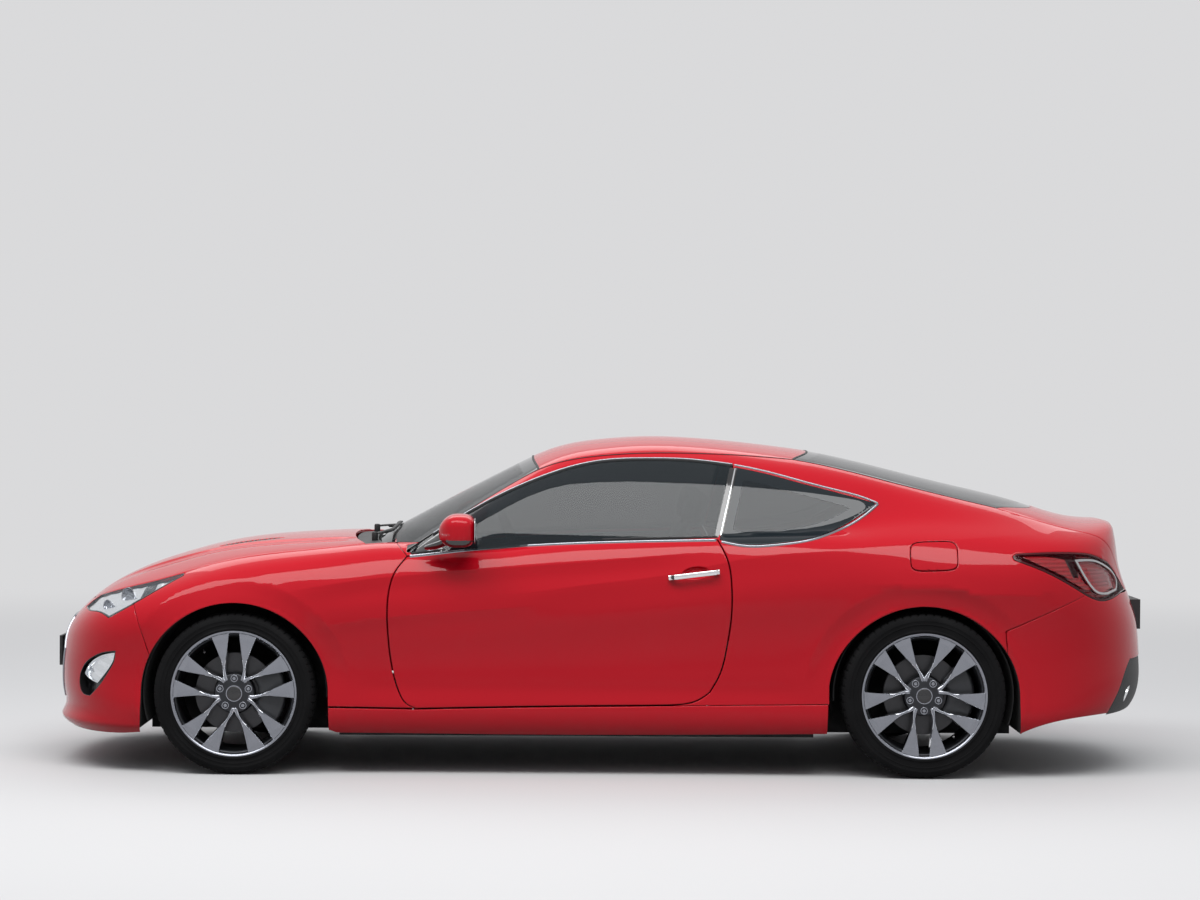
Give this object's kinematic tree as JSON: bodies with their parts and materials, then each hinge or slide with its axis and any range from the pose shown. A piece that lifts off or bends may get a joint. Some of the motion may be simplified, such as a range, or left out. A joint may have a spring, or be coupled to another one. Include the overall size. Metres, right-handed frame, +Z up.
{
  "type": "car",
  "caption": "Coupe car with opening doors, hood, trunk lid and fuel flap, steered front wheels and free-turning alloy wheels",
  "frame": {"origin": "on the ground under the middle of the car's length and width", "axes": "+X points to the rear of the car, +Y to its right side, +Z up"},
  "size_m": [4.634, 2.049, 1.3852],
  "materials": {
    "body_red": "bright red paint under a clear coat",
    "window_glass": "lightly tinted window glass",
    "black_plastic": "grained black plastic",
    "lamp_lens": "clear lens over bright reflectors",
    "tail_lens": "dark red lens",
    "underbody": "dark sealed underbody",
    "cabin_trim": "soft black cabin trim",
    "engine_metal": "cast engine block",
    "seat_leather": "black leather seats",
    "wheel_leather": "black leather steering wheel",
    "chassis_steel": "dark chassis steel",
    "exhaust_steel": "brushed exhaust steel",
    "bright_trim": "bright chrome",
    "tyre_rubber": "black tyre rubber",
    "rim_metal": "machined and grey painted alloy"
  },
  "bodies": {
    "body_shell": {"arch_liners": "black_plastic", "cowl": "black_plastic", "dashboard": "cabin_trim", "driver_seat": "seat_leather", "engine_block": "engine_metal", "exhaust": "exhaust_steel", "firewall": "underbody", "floor_pan": "underbody", "fog_lamps": "lamp_lens", "front_bumper": "body_red", "front_subframe": "chassis_steel", "grille": "black_plastic", "headlamps": "lamp_lens", "left_body_side": "body_red", "left_fender": "body_red", "left_sill": "body_red", "parcel_shelf": "cabin_trim", "passenger_seat": "seat_leather", "plate_holders": "black_plastic", "quarter_glass": "window_glass", "rear_bumper": "body_red", "rear_seat": "seat_leather", "rear_subframe": "chassis_steel", "rear_window": "window_glass", "right_body_side": "body_red", "right_fender": "body_red", "right_sill": "body_red", "roof_panel": "body_red", "seat_rails": "chassis_steel", "tail_lamps": "tail_lens", "windshield": "window_glass", "wipers": "black_plastic"},
    "left_door_body": {"left_door": "body_red", "left_door_glass": "window_glass", "left_mirror": "body_red", "left_door_handle": "bright_trim"},
    "right_door_body": {"right_door": "body_red", "right_door_glass": "window_glass", "right_mirror": "body_red", "right_door_handle": "bright_trim"},
    "hood_body": {"hood": "body_red"},
    "trunk_lid_body": {"trunk_lid": "body_red"},
    "fuel_flap_body": {"fuel_flap": "body_red"},
    "steering_wheel_body": {"steering_wheel": "wheel_leather"},
    "left_knuckle_body": {"left_knuckle": "chassis_steel"},
    "right_knuckle_body": {"right_knuckle": "chassis_steel"},
    "front_left_wheel": {"front_left_tyre": "tyre_rubber", "front_left_rim": "rim_metal"},
    "front_right_wheel": {"front_right_tyre": "tyre_rubber", "front_right_rim": "rim_metal"},
    "rear_left_wheel": {"rear_left_tyre": "tyre_rubber", "rear_left_rim": "rim_metal"},
    "rear_right_wheel": {"rear_right_tyre": "tyre_rubber", "rear_right_rim": "rim_metal"}
  },
  "joints": [
    {"name": "left_door_hinge", "type": "hinge", "parent": "body_shell", "child": "left_door_body", "pos_m": [-0.875, -0.897, 0.6], "axis": [0, 0, -1], "range_deg": [0, 65]},
    {"name": "right_door_hinge", "type": "hinge", "parent": "body_shell", "child": "right_door_body", "pos_m": [-0.875, 0.897, 0.6], "axis": [0, 0, 1], "range_deg": [0, 65]},
    {"name": "hood_hinge", "type": "hinge", "parent": "body_shell", "child": "hood_body", "pos_m": [-0.972, 0, 0.962], "axis": [0, 1, 0], "range_deg": [0, 50]},
    {"name": "trunk_lid_hinge", "type": "hinge", "parent": "body_shell", "child": "trunk_lid_body", "pos_m": [1.646, 0, 1.105], "axis": [0, -1, 0], "range_deg": [0, 70]},
    {"name": "fuel_flap_hinge", "type": "hinge", "parent": "body_shell", "child": "fuel_flap_body", "pos_m": [1.261, -0.91, 0.91], "axis": [0, -0.4855, -0.8742], "range_deg": [0, 80]},
    {"name": "left_steer", "type": "hinge", "parent": "body_shell", "child": "left_knuckle_body", "pos_m": [-1.5, -0.763, 0.3313], "axis": [0, 0, 1], "range_deg": [-35, 35]},
    {"name": "right_steer", "type": "hinge", "parent": "body_shell", "child": "right_knuckle_body", "pos_m": [-1.5, 0.763, 0.3313], "axis": [0, 0, 1], "range_deg": [-35, 35]},
    {"name": "steering_wheel_turn", "type": "hinge", "parent": "body_shell", "child": "steering_wheel_body", "pos_m": [-0.35, -0.37, 0.885], "axis": [0.9136, 0, 0.4067], "range_deg": [-490, 490]},
    {"name": "front_left_spin", "type": "hinge", "parent": "left_knuckle_body", "child": "front_left_wheel", "pos_m": [-1.5, -0.801, 0.3313], "axis": [0, 1, 0], "continuous": true},
    {"name": "front_right_spin", "type": "hinge", "parent": "right_knuckle_body", "child": "front_right_wheel", "pos_m": [-1.5, 0.801, 0.3313], "axis": [0, 1, 0], "continuous": true},
    {"name": "rear_left_spin", "type": "hinge", "parent": "body_shell", "child": "rear_left_wheel", "pos_m": [1.32, -0.809, 0.3393], "axis": [0, 1, 0], "continuous": true},
    {"name": "rear_right_spin", "type": "hinge", "parent": "body_shell", "child": "rear_right_wheel", "pos_m": [1.32, 0.809, 0.3393], "axis": [0, 1, 0], "continuous": true}
  ],
  "couplings": [
    {"joint": "right_steer", "follows": "left_steer", "ratio": 1},
    {"joint": "steering_wheel_turn", "follows": "left_steer", "ratio": 14}
  ]
}
